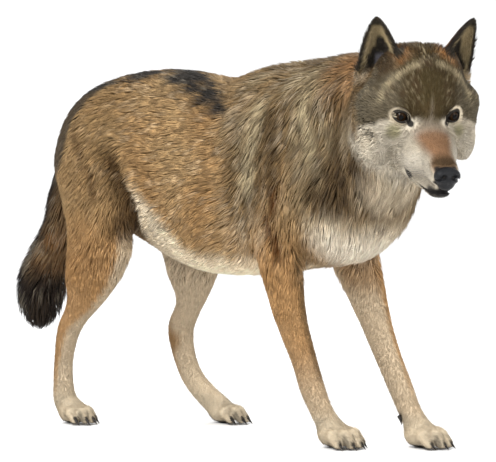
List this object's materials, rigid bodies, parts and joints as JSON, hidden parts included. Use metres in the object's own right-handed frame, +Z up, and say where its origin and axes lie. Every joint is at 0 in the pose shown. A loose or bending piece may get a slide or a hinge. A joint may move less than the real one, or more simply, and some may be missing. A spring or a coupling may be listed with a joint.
{
  "type": "wolf",
  "caption": "Grey wolf at life size in its coat, standing with the head low and turned to its right; a still model that rests on its paws.",
  "frame": {"origin": "middle of the footprint of the whole wolf, on the floor that the paws stand on", "axes": "+X along the body towards the chest and head, +Y to the wolf's left, +Z up"},
  "size_m": [1.284, 0.3602, 0.7752],
  "materials": {
    "coat": "long coarse fur, ochre and grey, dark tipped",
    "pale_coat": "short dense cream fur",
    "leg_coat": "short flat tan fur",
    "dark_coat": "long coarse black tipped fur",
    "nose": "moist pebbled skin",
    "eye": "wet and clear, dark amber under it"
  },
  "bodies": {
    "root": {"neck": "coat", "chest": "coat", "belly": "coat", "rump": "coat", "tail_base": "coat", "tail_brush": "dark_coat", "fore_leg_right_forearm": "leg_coat", "fore_leg_right_pastern": "leg_coat", "fore_leg_right_paw": "pale_coat", "fore_leg_left_forearm": "leg_coat", "fore_leg_left_pastern": "leg_coat", "fore_leg_left_paw": "pale_coat", "hind_leg_right_thigh": "coat", "hind_leg_right_shank": "leg_coat", "hind_leg_right_foot": "leg_coat", "hind_leg_right_paw": "pale_coat", "hind_leg_left_thigh": "coat", "hind_leg_left_shank": "leg_coat", "hind_leg_left_foot": "leg_coat", "hind_leg_left_paw": "pale_coat", "nose": "nose", "head": "coat", "eye_right": "eye", "eye_left": "eye", "ear_right": "coat", "ear_left": "coat"}
  },
  "joints": []
}
